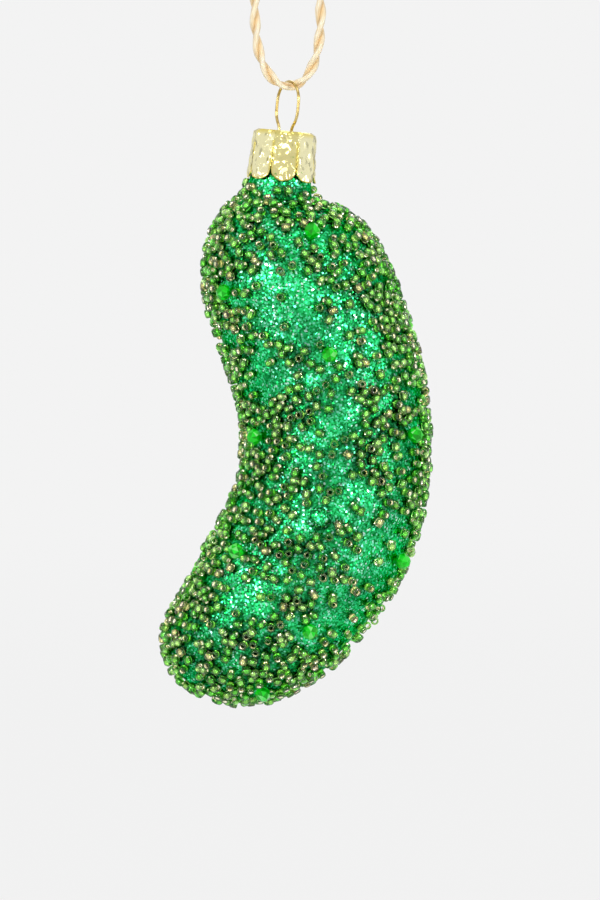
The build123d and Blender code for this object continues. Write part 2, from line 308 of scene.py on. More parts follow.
def glitter_material():
    """Green glitter glued all over the glass, darkened round the beads by dark glue and painted shade; bare
    silvered glass where there is no coat.
    """
    finish = {"Metallic": 1, "Roughness": 0.18, "Specular Tint": (*srgb(60, 190, 120), 1)}
    material, tree, shader = new_material("green_glitter", finish)
    flakes = group_node(tree, loose_flakes, {"Flakes per metre": 3000, "Tilt": 0.58})
    shades = [
        (0.0, srgb(13, 120, 52)),
        (0.5, srgb(34, 188, 97)),
        (0.82, srgb(64, 222, 146)),
        (0.95, srgb(136, 232, 196)),
        (1.0, srgb(216, 252, 238)),
    ]
    greens = ramp(tree, flakes.outputs["Shade"], shades)
    drift = remap(tree, cloud(tree, per_metre=130, detail=2), start=0.35, end=0.65, low=0.7, high=1.4)
    # dark glue with painted shade: a painted contact shadow round each bead's foot, deepest where beads
    # crowd, and a painted dark ring round the wart
    dark_glue = srgb(3, 34, 8)
    silver = (0.72, 0.74, 0.72)
    glued = mix(tree, painted(tree, "glue"), scaled(tree, greens, drift), dark_glue)
    coated = mix(tree, painted(tree, "coat"), silver, glued)
    tree.links.new(coated, shader.inputs["Base Color"])
    tree.links.new(flakes.outputs["Normal"], shader.inputs["Normal"])
    return material


def seed_glass_material():
    """Lime bead glass, each bead with its own tint."""
    finish = {"Roughness": 0.03, "IOR": 1.5, "Transmission Weight": 0.94}
    material, tree, shader = new_material("lime_bead_glass", finish)
    tree.links.new(painted(tree, "tint", "Color"), shader.inputs["Base Color"])
    return material


def lining_material():
    """Pale metal lining in the beads' holes."""
    material, tree, shader = new_material("bead_lining", {"Metallic": 1, "Roughness": 0.2})
    shades = [(0.35, srgb(226, 222, 170)), (0.55, srgb(252, 250, 224)), (0.75, srgb(248, 232, 206))]
    clouded = ramp(tree, cloud(tree, per_metre=350, detail=1), shades)
    tree.links.new(clouded, shader.inputs["Base Color"])
    return material


def accent_glass_material():
    """Emerald glass with a painted shade for each facet, lighter or darker, a few nearly white as painted
    glints, standing in for reflections inside the bead.
    """
    finish = {"Roughness": 0.05, "IOR": 1.54, "Specular IOR Level": 0.25, "Transmission Weight": 0.25}
    material, tree, shader = new_material("emerald_glass", finish)
    # painted reflections: facet shades from dark green to nearly white glints
    shades = [
        (0.0, srgb(2, 150, 8)),
        (0.5, srgb(8, 222, 24)),
        (0.85, srgb(30, 252, 50)),
        (1.0, srgb(150, 255, 150)),
    ]
    tree.links.new(ramp(tree, painted(tree, "facet"), shades), shader.inputs["Base Color"])
    return material


def foil_material():
    """Crumpled pale gold foil, yellower along its cut edges, with painted shade that makes some petals
    duller, as if they reflected darker surroundings.
    """
    material, tree, shader = new_material("gold_foil", {"Metallic": 1, "Roughness": 0.18})
    shades = [(0.0, srgb(246, 240, 192)), (0.5, srgb(238, 224, 144)), (1.0, srgb(230, 208, 104))]
    gold = ramp(tree, painted(tree, "edge"), shades)
    # painted shade: petals mixed toward this darker gold, as if they reflected a darker studio
    dull_gold = srgb(208, 194, 108)
    tree.links.new(mix(tree, painted(tree, "tarnish"), gold, dull_gold), shader.inputs["Base Color"])
    creases = group_node(tree, crumpled_sheet, {"Creases per metre": 430})
    crumpled = bump(tree, creases.outputs["Height"], strength=0.9, distance=0.001)
    tree.links.new(crumpled, shader.inputs["Normal"])
    return material


def wire_material():
    """Bright gold wire with faint drawing marks."""
    material, tree, shader = new_material("gold_wire", {"Metallic": 1, "Roughness": 0.18})
    gold = [(0.3, srgb(176, 148, 80)), (0.7, srgb(228, 206, 140))]
    marked = ramp(tree, cloud(tree, per_metre=900, detail=2), gold)
    tree.links.new(marked, shader.inputs["Base Color"])
    return material


def twine_material():
    """Pale straw twine with fine fibres along each ply, and painted shade darker between the plies."""
    finish = {
        "Roughness": 0.62,
        "Sheen Weight": 0.3,
        "Subsurface Weight": 0.15,
        "Subsurface Radius": (0.0006, 0.0005, 0.0003),
    }
    material, tree, shader = new_material("straw_twine", finish)
    place = put(tree, "ShaderNodeUVMap", uv_map="fibres").outputs["UV"]
    drawn = put(tree, "ShaderNodeMapping", {"Vector": place, "Scale": (9, 1.1, 1)}).outputs[0]
    fibre = put(tree, "ShaderNodeTexNoise", {"Vector": drawn, "Scale": 1.6, "Detail": 4}).outputs["Fac"]
    shades = [(0.3, srgb(240, 216, 172)), (0.5, srgb(250, 234, 202)), (0.72, srgb(255, 248, 230))]
    straw = ramp(tree, fibre, shades)
    # painted shade: the straw turns to this darker tan in the hollow between the plies
    shaded_straw = srgb(234, 202, 148)
    tree.links.new(mix(tree, painted(tree, "hollow"), straw, shaded_straw), shader.inputs["Base Color"])
    tree.links.new(bump(tree, fibre, strength=0.5, distance=0.0002), shader.inputs["Normal"])
    return material


green_glitter = glitter_material()
lime_bead_glass = seed_glass_material()
bead_lining = lining_material()
emerald_glass = accent_glass_material()
gold_foil = foil_material()
gold_wire = wire_material()
straw_twine = twine_material()

# Twine: two plies laid round each other along the loop, the knot and the tails
cord_radius = 1.1 * MM
ply_radius = 0.6 * MM
ply_pitch = 11.0 * MM
ply_sides = 12
fibre_ridges = 5
fibre_ridge_depth = 0.05
fibre_ridge_lead = 3  # turns of the ridges round a ply for each turn of the plies
fibre_repeats = 4  # of the fibres' pattern in each turn of the plies
# the next two set the painted shade in the hollow between the plies
hollow_start = 0.95  # as a share of the cord's radius, where the hollow between the plies begins
hollow_depth = 0.45
strand_x = 1.25
knot_foot = 4.0
knot_top = 10.4
nip_reach = 3.2 * MM
nip_share = 0.85
route_resolution = 20
loop_route = [
    (-strand_x, knot_foot),
    (-strand_x, 0.2),
    (-3.3, -7.0),
    (-5.3, -15.0),
    (-6.6, -23.5),
    (-6.95, -31.5),
    (-6.8, -38.5),
    (-5.7, -44.8),
    (-2.4, -49.4),
    (2.2, -49.4),
    (5.2, -44.8),
    (6.25, -38.5),
    (6.15, -31.5),
    (5.5, -23.5),
    (4.4, -15.0),
    (2.9, -7.0),
    (strand_x, 0.2),
    (strand_x, knot_foot),
]


def smooth_line(route):
    """Points along the smooth curve that a route's points, across and up, control."""
    data = bpy.data.curves.new("route", "CURVE")
    data.dimensions = "3D"
    data.resolution_u = route_resolution
    spline = data.splines.new("NURBS")
    spline.points.add(len(route) - 1)
    for control, (x, z) in zip(spline.points, route):
        control.co = (*(Vector((x, 0, z)) * MM), 1)
    spline.order_u = 3
    spline.use_endpoint_u = True
    holder = bpy.data.objects.new("route", data)
    mesh = bpy.data.meshes.new_from_object(holder)
    line = [vertex.co.copy() for vertex in mesh.vertices]
    bpy.data.objects.remove(holder)
    bpy.data.curves.remove(data)
    bpy.data.meshes.remove(mesh)
    return line


def run_along(line):
    """How far along a line each of its points is."""
    run = [0.0]
    for before, after in zip(line, line[1:]):
        run.append(run[-1] + (after - before).length)
    return run


def lay_twine(name, line, squeeze=None):
    """Two plies twisted round a line, riding on the cord; squeeze scales their section at each point."""
    corners, faces, fibres, hollows = [], [], [], []
    run = run_along(line)
    side = Vector((0, 1, 0))
    for ply in range(2):
        first = len(corners)
        for step, point in enumerate(line):
            ahead = heading(line, step)
            side = (side - ahead * side.dot(ahead)).normalized()
            across = ahead.cross(side)
            share = squeeze(point) if squeeze else 1.0
            turn = 2 * math.pi * run[step] / ply_pitch + math.pi * ply
            ply_way = side * math.cos(turn) + across * math.sin(turn)
            middle = point + ply_way * (cord_radius - ply_radius) * share
            for corner in range(ply_sides):
                angle = 2 * math.pi * corner / ply_sides
                ridge = 1 + fibre_ridge_depth * math.sin(fibre_ridges * angle - fibre_ridge_lead * turn)
                arm = side * math.cos(angle) + across * math.sin(angle)
                corners.append(middle + arm * ply_radius * ridge * share)
                out = (corners[-1] - point).length / (cord_radius * share)
                # painted shade, deeper toward the hollow between the plies
                hollows.append(clamp((hollow_start - out) / hollow_depth))
                fibres.append((corner / ply_sides, run[step] / ply_pitch * fibre_repeats))
        faces += tube_faces(first, len(line), ply_sides)
    piece = build(name, corners, faces, "cord", [straw_twine])
    layer = piece.data.uv_layers.new(name="fibres")
    for loop in piece.data.loops:
        layer.data[loop.index].uv = fibres[loop.vertex_index]
    paint(piece.data, "hollow", hollows)
    return piece


def nip(point):
    """How far the twine is squeezed where the ring hangs in it."""
    reach = min((point - loop_foot).length / nip_reach, 1)
    return nip_share + (1 - nip_share) * reach * reach * (3 - 2 * reach)


loop_line = smooth_line(loop_route)
twine_loop = lay_twine("twine_loop", loop_line, nip)
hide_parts("cord_loop")

# Knot: the twine wound round its two strands
knot_turns = 2.6
knot_steps = 160
knot_outside = 3.25 * MM
knot_radius = knot_outside - cord_radius
knot_low = knot_foot * MM + cord_radius
knot_rise = (knot_top - knot_foot) * MM - 2 * cord_radius
knot_wobble = 0.05
knot_wobbles = 3  # in each turn


def knot_line():
    """A short winding, a little uneven across."""
    line = []
    for step in range(knot_steps + 1):
        share = step / knot_steps
        angle = 2 * math.pi * knot_turns * share
        wobble = 1 + knot_wobble * math.sin(knot_wobbles * angle)
        x = math.cos(angle) * knot_radius * wobble
        y = math.sin(angle) * knot_radius
        line.append(Vector((x, y, knot_low + knot_rise * share)))
    return line


twine_knot = lay_twine("twine_knot", knot_line())
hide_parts("cord_knot")

# Tails: the cut ends of both strands, leaning apart above the knot
tail_length = 9.0
tail_spread = 2.2
tail_start = 0.2  # how far each tail leans out at the knot's top
tail_bow = 0.6  # share of the spread that a tail has half way up
for side, node in ((-1, "cord_tail_left"), (1, "cord_tail_right")):
    tail_route = [
        (side * strand_x, knot_foot),
        (side * strand_x, (knot_foot + knot_top) / 2),
        (side * (strand_x + tail_start), knot_top),
        (side * (strand_x + tail_spread * tail_bow), knot_top + tail_length / 2),
        (side * (strand_x + tail_spread), knot_top + tail_length),
    ]
    tail = lay_twine(node.replace("cord", "twine"), smooth_line(tail_route))
    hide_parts(node)

# Hanger: one round wire, a ring over the cap and two legs in the neck
wire_radius = 0.3 * MM
wire_sides = 14
ring_radius = 4.1
ring_lift = 0.9
ring_side = 1.6
ring_flank = math.radians(40)
ring_bend = 2.0
ring_turn = math.radians(59)
ring_steps = 30
flank_steps = 16
bend_steps = 8
leg_x = 2.4
leg_bottom = -19.2
knee_reach = 0.6  # above and below the knee, where each leg begins to splay
knee_middle_out = 0.03
knee_end_out = 0.12
foot_x = 3.9
foot_drop = 12.0
ring_right = neck_right * math.cos(ring_turn) - neck_back * math.sin(ring_turn)
ring_face = neck_right * math.sin(ring_turn) + neck_back * math.cos(ring_turn)


def half_wire():
    """Across and up, from the top of the ring down one side to the foot of its leg."""
    path = []
    middle = ring_lift - ring_radius
    for step in range(ring_steps + 1):
        angle = math.pi / 2 * (1 - step / ring_steps)
        path.append((ring_radius * math.cos(angle), middle + ring_radius * math.sin(angle)))
    for step in range(flank_steps + 1):
        angle = -ring_flank * step / flank_steps
        path.append((ring_radius * math.cos(angle), middle - ring_side + ring_radius * math.sin(angle)))
    bend_width = ring_bend * (1 - math.cos(ring_flank))
    flank_run = (ring_radius * math.cos(ring_flank) - leg_x - bend_width) / math.sin(ring_flank)
    bend_x = path[-1][0] - flank_run * math.sin(ring_flank)
    bend_y = path[-1][1] - flank_run * math.cos(ring_flank)
    for step in range(bend_steps + 1):
        angle = ring_flank * (1 - step / bend_steps)
        over = ring_bend * (math.cos(angle) - math.cos(ring_flank))
        down = ring_bend * (math.sin(ring_flank) - math.sin(angle))
        path.append((bend_x - over, bend_y - down))
    path.append((leg_x, leg_bottom + knee_reach))
    path.append((leg_x + knee_middle_out, leg_bottom))
    path.append((leg_x + knee_end_out, leg_bottom - knee_reach))
    path.append((foot_x, leg_bottom - foot_drop))
    return path


def round_wire():
    """The whole wire as a tube in the ring's plane."""
    right_side = half_wire()
    whole = [(-x, y) for x, y in reversed(right_side[1:])] + right_side
    line = [loop_foot + (ring_right * x + neck_up * y) * MM for x, y in whole]
    corners = []
    for step, point in enumerate(line):
        out = heading(line, step).cross(ring_face)
        for corner in range(wire_sides):
            angle = 2 * math.pi * corner / wire_sides
            corners.append(point + (ring_face * math.cos(angle) + out * math.sin(angle)) * wire_radius)
    return build("ring_wire", corners, tube_faces(0, len(line), wire_sides), "hanger", [gold_wire])


ring_wire = round_wire()
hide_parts("hanger_wire")

# Cap: crumpled foil pressed over the neck, cut into round petals
cap_top = -9.2
cap_height = 9.7
cap_radius = 6.0
cap_flare = 0.5
cap_edge = 0.7
cap_sheet = 0.28 * MM
cap_weld = 0.02 * MM
crease_wide = (0.75, 0.2)  # creases to the millimetre, and their height
crease_fine = (1.9, 0.1)
crease_fine_shift = Vector((9, 4, 2))
crease_start = 1.2  # below the rim, where the creases reach their full height
petal_count = 8
petal_turn = math.radians(-86)
# painted shade on each petal, the front petal darkest, as if it reflected darker surroundings
petal_tarnish = [0.6, 0.0, 0.25, 0.5, 0.1, 0.4, 0.2, 0.12]  # from the front petal round
petal_steps = 28
petal_rows = 22
petal_slit_top = 1.7
petal_round = 2.3
petal_gap = math.radians(1.6)
petal_overlap = 1.04
petal_bulge = 0.3
petal_tuck = (-0.02, 0.16)  # how far a petal's foot stands out, for even and for odd petals
rim_gold = 0.9  # width of the yellower gold along the rim
edge_gold = 0.55  # and along the petals' edges
wire_hole = 0.45
wire_hole_sides = 14


def cap_point(angle, down, lift=0.0):
    """A point of the cap's skirt, pushed about by creases."""
    share = down / cap_height
    radius = cap_radius + cap_flare * share + lift
    if down < cap_edge:
        radius -= cap_edge * (1 - math.sqrt(1 - (1 - down / cap_edge) ** 2))
    flat = hung(radius * math.cos(angle), radius * math.sin(angle), cap_top - down)
    crease = unevenness(flat, *crease_wide) + unevenness(flat, *crease_fine, crease_fine_shift)
    push = crease * min(down / crease_start, 1)
    return hung((radius + push) * math.cos(angle), (radius + push) * math.sin(angle), cap_top - down)


def cap_skirt():
    """Rim and petals as one sheet, with edges marked for their yellower gold and each petal given its painted
    shade.
    """
    corners, faces, edges, tarnishes = [], [], [], []
    rng = random.Random(5)
    half = math.pi / petal_count
    for petal in range(petal_count):
        middle = petal_turn + 2 * half * petal
        bulge = rng.uniform(0.0, petal_bulge)
        tuck = petal_tuck[petal % 2]
        first = len(corners)
        for row in range(petal_rows + 1):
            for step in range(petal_steps + 1):
                side = 2 * step / petal_steps - 1
                cut = petal_round * (1 - math.sqrt(max(1 - side * side, 0)))
                low = cap_height - cut
                down = low * row / petal_rows
                below = max(down - petal_slit_top, 0) / (cap_height - petal_slit_top)
                spread = half
                to_edge = low - down
                if down > petal_slit_top:
                    spread = half * petal_overlap - petal_gap * below
                    to_edge = min((1 - abs(side)) * half * cap_radius, to_edge)
                lift = (tuck + bulge * math.cos(side * math.pi / 2)) * below
                corners.append(cap_point(middle + spread * side, down, lift))
                edges.append(max(max(0, 1 - down / rim_gold), 1 - min(to_edge / edge_gold, 1)))
                tarnishes.append(petal_tarnish[petal])
        for row in range(petal_rows):
            for step in range(petal_steps):
                low = first + row * (petal_steps + 1) + step
                faces.append((low, low + petal_steps + 1, low + petal_steps + 2, low + 1))
    piece = build("foil_cap", corners, faces, "cap", [gold_foil])
    paint(piece.data, "edge", edges)
    paint(piece.data, "tarnish", tarnishes)
    return piece


def close_top(piece):
    """The cap's flat top, with a hole for each leg of the wire."""
    rim_depth = 0.05
    work = bmesh.new()
    work.from_mesh(piece.data)
    bmesh.ops.remove_doubles(work, verts=work.verts, dist=cap_weld)
    top = sorted((e for e in work.edges if e.is_boundary), key=lambda e: -along_neck(e.verts[0].co))
    rim = [e for e in top if min(along_neck(v.co) for v in e.verts) > cap_top - rim_depth]
    turn = Matrix((neck_right, neck_back, neck_up)).transposed().to_4x4()
    for side in (-1, 1):
        hole = bmesh.ops.create_circle(work, segments=wire_hole_sides, radius=wire_hole * MM)["verts"]
        seat = loop_foot + (ring_right * leg_x * side + neck_up * cap_top) * MM
        bmesh.ops.transform(work, matrix=Matrix.Translation(seat) @ turn, verts=hole)
        rim += [e for e in work.edges if e.verts[0] in hole and e.verts[1] in hole]
    bmesh.ops.triangle_fill(work, use_beauty=True, use_dissolve=False, edges=rim, normal=neck_up)
    bmesh.ops.recalc_face_normals(work, faces=work.faces)
    for face in work.faces:
        face.smooth = True
    work.to_mesh(piece.data)
    work.free()


cap_piece = cap_skirt()
close_top(cap_piece)
cap_thickness = cap_piece.modifiers.new("sheet", "SOLIDIFY")
cap_thickness.thickness = cap_sheet
cap_thickness.offset = -1
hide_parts("crown_cap")

# Glass: the blown shell, smoothed, with its coat of glitter from the cap's edge down
coat_voxel = 0.6 * MM
coat_smoothing = 14
coat_top = -17.0
neck_foot = -23.4
lump_wide = (0.09, 0.22)  # lumps to the millimetre, and their height
lump_fine = (2.3, 0.05)
lump_start = 2  # above the neck's foot, where the lumps begin
lump_fade = 4
wart_place = (14.2, -84.0)  # to the right and up the neck, from the loop's foot
wart_radius = 1.9
wart_height = 1.5
neck_coat = 0.32
neck_coat_top = -17.2
neck_coat_fade = 3
sight_lift = 0.3  # a point is outside where a look straight out, from just above it, meets no glass
sight_reach = 45
far_front = 60  # well in front of the glass


def even_shell():
    """The CAD shell's mesh, made even and smooth."""
    source = frame["nodes"]["glass_body"].data.copy()
    work = bmesh.new()
    work.from_mesh(source)
    bmesh.ops.remove_doubles(work, verts=work.verts, dist=weld)
    work.to_mesh(source)
    work.free()
    shell = bpy.data.objects.new("glass_source", source)
    scene.collection.objects.link(shell)
    even = shell.modifiers.new("even", "REMESH")
    even.mode = "VOXEL"
    even.voxel_size = coat_voxel
    soft = shell.modifiers.new("soft", "SMOOTH")
    soft.factor = 0.5
    soft.iterations = coat_smoothing
    graph = bpy.context.evaluated_depsgraph_get()
    mesh = bpy.data.meshes.new_from_object(shell.evaluated_get(graph))
    bpy.data.objects.remove(shell)
    bpy.data.meshes.remove(source)
    mesh.name = "glitter_glass"
    mesh.materials.clear()
    mesh.materials.append(green_glitter)
    mesh.polygons.foreach_set("use_smooth", [True] * len(mesh.polygons))
    return mesh


def coat_thickness(point, wart):
    """Millimetres of glitter at a point: uneven as blown glass is, with a wart and a thick neck."""
    lumps = unevenness(point, *lump_wide) + unevenness(point, *lump_fine)
    near = (point - wart).length / MM / wart_radius
    if near < 1:
        lumps += wart_height * math.sqrt(1 - near * near)
    height = along_neck(point)
    fade = clamp((neck_foot + lump_start - height) / lump_fade)
    low_fade = min(max(height - neck_foot + neck_coat_fade, 0) / neck_coat_fade, 1)
    return lumps * fade + neck_coat * clamp(neck_coat_top - height) * low_fade


def coated_glass():
    """The glass with its coat, which of its points are outside, and the foot of the wart."""
    mesh = even_shell()
    piece = bpy.data.objects.new("glitter_glass", mesh)
    scene.collection.objects.link(piece)
    sides = [tuple(p.vertices) for p in mesh.polygons]
    surface = BVHTree.FromPolygons([v.co for v in mesh.vertices], sides)
    outer = []
    for vertex in mesh.vertices:
        start = vertex.co + vertex.normal * sight_lift * MM
        outer.append(surface.ray_cast(start, vertex.normal, sight_reach * MM)[0] is None)
    wart = surface.ray_cast(hung(wart_place[0], -far_front, wart_place[1]), neck_back)[0]
    moved = []
    for vertex, shown in zip(mesh.vertices, outer):
        point = vertex.co.copy()
        if shown:
            point += vertex.normal * coat_thickness(point, wart) * MM
        moved.append(point)
    for vertex, point in zip(mesh.vertices, moved):
        vertex.co = point
    coated = [shown and along_neck(point) < coat_top for point, shown in zip(moved, outer)]
    paint(mesh, "coat", [float(coat) for coat in coated])
    mesh.update()
    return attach(piece, "glass"), outer, wart


glitter_glass, glass_outer, wart_foot = coated_glass()
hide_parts("glass_body")

# Beads: seed beads and accent beads where the frame has them, and more seed beads between
bead_radius = 0.86
bead_length = 1.7
bead_hole = 0.45
bead_lip = 0.68  # radius at the two ends
bead_straight = 0.5  # half the length of the straight side
bead_hole_depth = 0.76  # half the length of the hole
bead_segments = 10
bead_profile = [
    (bead_radius, -bead_straight),
    (bead_radius, bead_straight),
    (bead_lip, bead_length / 2),
    (bead_hole, bead_hole_depth),
    (bead_hole, -bead_hole_depth),
    (bead_lip, -bead_length / 2),
]
lining_row = 3
bead_tints = [  # each up to its place in the draw
    (0.45, srgb(152, 246, 116)),
    (0.74, srgb(112, 234, 84)),
    (0.94, srgb(186, 250, 150)),
    (1.0, srgb(236, 236, 180)),
]
bead_dimming = (0.75, 1.1)
bead_scale = (0.9, 1.04)
bead_spin = 6.28
bead_total = 1640
bead_tries = 60000
bead_spacing = 1.72
bead_top = neck_foot + 3.5
bead_upright_share = 0.33
bead_lean = 0.2  # of beads on end
bead_tip = 0.15  # of beads on their sides
bead_sunk = 0.1  # how deep a bead sits in the glue
clump_scale = 0.16
clump_shift = Vector((3.1, 7.7, 1.3))
clump_mean = 0.7
clump_swing = 0.9
clump_least = 0.15
neck_left = 6  # left of the loop's foot; beyond it, beads go up the neck
neck_left_chance = 0.9
neck_chance = 0.15
open_patches = [  # middle and half sizes, seen from the front
    (0.0, -93.5, 10.0, 9.0),
    (12.0, -97.0, 6.0, 9.0),
    (-4.0, -106.0, 5.0, 7.0),
    (10.0, -113.0, 5.0, 6.0),
    (13.0, -131.0, 6.0, 6.0),
    (19.0, -143.0, 9.0, 12.0),
    (13.0, -155.0, 11.0, 11.0),
    (-8.0, -150.0, 6.0, 7.0),
]
patch_drop_back = 7.0
patch_edge = 1.6  # how steeply the beads thin out at a patch's edge
patch_bareness = 0.95
accent_reach = 1.8
accent_rings = [(-1.5, 0.55), (-0.8, 1.4), (0.0, 1.7), (0.8, 1.4), (1.5, 0.55)]  # height and radius
accent_sides = 7
# dark glue and painted shade round the seed beads' feet, and a painted dark ring round the wart's foot
glue_reach = 2.05
glue_fade = 0.8
crowd_reach = 2.6
crowd_count = 3  # neighbours that make the glue and painted shade their darkest
crowd_least = 0.6
wart_clear = 0.5
wart_ring_out = 0.3
wart_ring_width = 0.5
wart_ring_core = 1.2
wart_ring_dark = 0.9
bead_rng = random.Random(23)


def loose_solids(node):
    """Centre and unit axes, shortest spread first, of each solid in a CAD node."""
    work = bmesh.new()
    work.from_mesh(frame["nodes"][node].data)
    bmesh.ops.remove_doubles(work, verts=work.verts, dist=weld)
    work.verts.index_update()
    seen = set()
    solids = []
    for start in work.verts:
        if start.index in seen:
            continue
        seen.add(start.index)
        island = [start]
        for vertex in island:
            for link in vertex.link_edges:
                other = link.other_vert(vertex)
                if other.index not in seen:
                    seen.add(other.index)
                    island.append(other)
        points = np.array([v.co for v in island])
        axes = np.linalg.eigh(np.cov(points.T))[1]
        solids.append((Vector(points.mean(axis=0)), [Vector(axis) for axis in axes.T]))
    work.free()
    return solids


def bare_share(point):
    """How much of the glitter is left open to view near a point, 0 for crowded and 1 for bare."""
    down = 0 if point.y < 0 else patch_drop_back
    most = 0.0
    for patch_x, patch_z, wide, tall in open_patches:
        far = math.hypot((point.x / MM - patch_x) / wide, (point.z / MM - patch_z + down) / tall)
        most = max(most, 1 - far * far)
    return min(most * patch_edge, 1.0)


def bead_chance(point):
    """How likely a bead is at a point: in clumps, thin in the open patches and on most of the neck."""
    clump = unevenness(point, clump_scale, 1, clump_shift)
    chance = clamp(clump_mean + clump_swing * clump, clump_least) * (1 - patch_bareness * bare_share(point))
    if along_neck(point) > neck_foot:
        chance *= neck_left_chance if point.x < loop_foot.x - neck_left * MM else neck_chance
    return chance


def seats_between(taken):
    """Places for further seed beads on the glass, clear of the places that are taken."""
    mesh = glitter_glass.data
    faces = [p for p in mesh.polygons if all(glass_outer[v] for v in p.vertices)]
    faces = [p for p in faces if along_neck(p.center) < bead_top]
    areas = np.cumsum([p.area for p in faces])
    cell = bead_spacing * MM
    near_cells = list(product((-2, -1, 0, 1, 2), repeat=3))
    grid = {}

    def cell_of(point):
        return tuple(math.floor(c / cell) for c in point)

    def room(point, reach):
        home = cell_of(point)
        for dx, dy, dz in near_cells:
            for other, other_reach in grid.get((home[0] + dx, home[1] + dy, home[2] + dz), ()):
                if (other - point).length < reach + other_reach:
                    return False
        return True

    for point, reach in taken:
        grid.setdefault(cell_of(point), []).append((point, reach))
    found = []
    reach = bead_spacing / 2 * MM
    for _ in range(bead_tries):
        if len(found) + len(taken) >= bead_total:
            break
        face = faces[int(np.searchsorted(areas, bead_rng.random() * areas[-1]))]
        point = face.center.copy()
        if bead_rng.random() > bead_chance(point) or not room(point, reach):
            continue
        grid.setdefault(cell_of(point), []).append((point, reach))
        found.append((point, face.normal.copy()))
    return found


def any_way():
    """A random vector."""
    return Vector((bead_rng.uniform(-1, 1), bead_rng.uniform(-1, 1), bead_rng.uniform(-1, 1)))


def seat_bead(point, normal):
    """Centre and axis of a bead glued at a point, on end or on its side."""
    if bead_rng.random() < bead_upright_share:
        axis = (normal + any_way() * bead_lean).normalized()
        lift = bead_length / 2
    else:
        loose = any_way()
        flat = (loose - normal * loose.dot(normal)).normalized()
        axis = flat + normal * bead_rng.uniform(-bead_tip, bead_tip)
        lift = bead_radius
    return point + normal * (lift - bead_sunk) * MM, axis.normalized()


def facing(axis):
    """A turn that sends +Z along an axis, with a random spin round it."""
    spin = bead_rng.uniform(0, bead_spin)
    return axis.to_track_quat("Z", "Y").to_matrix().to_4x4() @ Matrix.Rotation(spin, 4, "Z")


def bead_tint():
    """A random tint for one bead."""
    draw = bead_rng.random()
    tint = next(colour for end, colour in bead_tints if draw <= end)
    dim = bead_rng.uniform(*bead_dimming)
    return (*(min(channel * dim, 1) for channel in tint), 1)


def seed_places(nodes):
    """Centre and axis of every seed bead: those of the CAD nodes first, then those between."""
    places = []
    for node in sorted(nodes):
        for centre, axes in loose_solids(node):
            places.append((centre, axes[2]))
    taken = [(centre, bead_spacing / 2 * MM) for centre, axis in places]
    for node in frame["nodes"]:
        if node.startswith("accent_bead_"):
            low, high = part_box(node)
            taken.append(((low + high) / 2, accent_reach * MM))
    taken.append((wart_foot, (wart_radius + wart_clear) * MM))
    for point, normal in seats_between(taken):
        places.append(seat_bead(point, normal))
    return places


def strew_seed_beads():
    """All seed beads as one mesh of glass tubes with metal-lined holes and a tint for each bead."""
    nodes = [node for node in frame["nodes"] if node.startswith("seed_beads_")]
    places = seed_places(nodes)
    corners, faces, slots, tints = [], [], [], []
    rows = len(bead_profile)
    for centre, axis in places:
        scale = bead_rng.uniform(*bead_scale)
        turn = Matrix.Translation(centre) @ facing(axis) @ Matrix.Scale(scale * MM, 4)
        first = len(corners)
        for segment in range(bead_segments):
            angle = 2 * math.pi * segment / bead_segments
            for radius, height in bead_profile:
                corners.append(turn @ Vector((radius * math.cos(angle), radius * math.sin(angle), height)))
        for segment in range(bead_segments):
            here = first + segment * rows
            beside = first + (segment + 1) % bead_segments * rows
            for row in range(rows):
                after = (row + 1) % rows
                faces.append((here + row, beside + row, beside + after, here + after))
                slots.append(1 if row == lining_row else 0)
        tints += [bead_tint()] * (rows * bead_segments)
    piece = build("seed_beads", corners, faces, "glass", [lime_bead_glass, bead_lining])
    piece.data.polygons.foreach_set("material_index", slots)
    mark = piece.data.attributes.new("tint", "FLOAT_COLOR", "POINT")
    mark.data.foreach_set("color", [channel for tint in tints for channel in tint])
    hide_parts(*nodes)
    return [centre for centre, axis in places]


def set_accent_beads():
    """Faceted round beads in place of the frame's accent beads."""
    nodes = sorted(node for node in frame["nodes"] if node.startswith("accent_bead_"))
    corners, faces = [], []
    for node in nodes:
        centre, axes = loose_solids(node)[0]
        turn = Matrix.Translation(centre) @ facing(axes[0]) @ Matrix.Scale(MM, 4)
        first = len(corners)
        for index, (height, radius) in enumerate(accent_rings):
            for segment in range(accent_sides):
                angle = 2 * math.pi * (segment + 0.5 * (index % 2)) / accent_sides
                corners.append(turn @ Vector((radius * math.cos(angle), radius * math.sin(angle), height)))
        for index in range(len(accent_rings) - 1):
            low = first + index * accent_sides
            high = low + accent_sides
            for segment in range(accent_sides):
                beside = (segment + 1) % accent_sides
                if index % 2 == 0:
                    faces.append((low + segment, low + beside, high + segment))
                    faces.append((low + beside, high + beside, high + segment))
                else:
                    faces.append((low + segment, high + beside, high + segment))
                    faces.append((low + segment, low + beside, high + beside))
        top = first + (len(accent_rings) - 1) * accent_sides
        faces.append(tuple(reversed(range(first, first + accent_sides))))
        faces.append(tuple(range(top, top + accent_sides)))
    piece = build("accent_beads", corners, faces, "glass", [emerald_glass], smooth=False)
    # a random painted shade and glint for each facet
    facet_rng = random.Random(11)
    paint(piece.data, "facet", [facet_rng.random() for face in faces], "FACE")
    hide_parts(*nodes)


